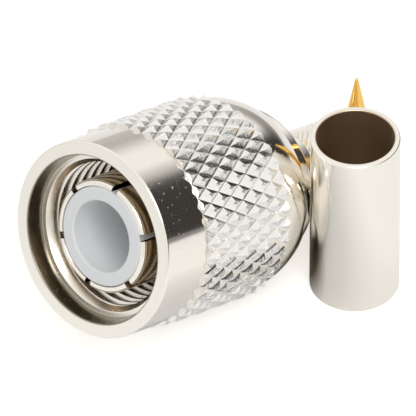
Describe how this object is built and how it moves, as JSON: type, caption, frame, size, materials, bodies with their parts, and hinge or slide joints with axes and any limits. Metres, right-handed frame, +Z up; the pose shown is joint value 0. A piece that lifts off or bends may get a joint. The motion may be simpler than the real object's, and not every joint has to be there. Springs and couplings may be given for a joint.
{
  "type": "tnc crimp plug",
  "caption": "Coaxial crimp plug with a knurled screw-on coupling nut, slotted spring collet and white insulator, with its loose crimp ferrule and contact pin.",
  "frame": {"origin": "on the floor, below the middle of the box round the whole set", "axes": "+Z up, along the standing ferrule's bore; the plug's axis lies parallel to the XZ plane, mating face to -X, cable end to +X"},
  "size_m": [0.0288, 0.0184, 0.0174],
  "materials": {
    "nickel": "bright nickel plate on brass",
    "gold": "gold plate on brass",
    "collet_gold": "bright nickel plate on spring bronze",
    "insulator_white": "white fluoroplastic",
    "gasket_rubber": "silicone rubber"
  },
  "bodies": {
    "plug": {"plug_body": "nickel", "snap_ring": "collet_gold", "spring_collet": "collet_gold", "sealing_gasket": "gasket_rubber", "insulator": "insulator_white", "crimp_stem": "nickel", "crimp_ferrule": "nickel", "contact_pin": "gold"},
    "nut": {"coupling_nut": "nickel"}
  },
  "joints": [
    {"name": "nut_spin", "type": "hinge", "parent": "plug", "child": "nut", "pos_m": [-0.00489, 0.00185, 0.00838], "axis": [-0.9511, 0, 0.309], "continuous": true}
  ]
}
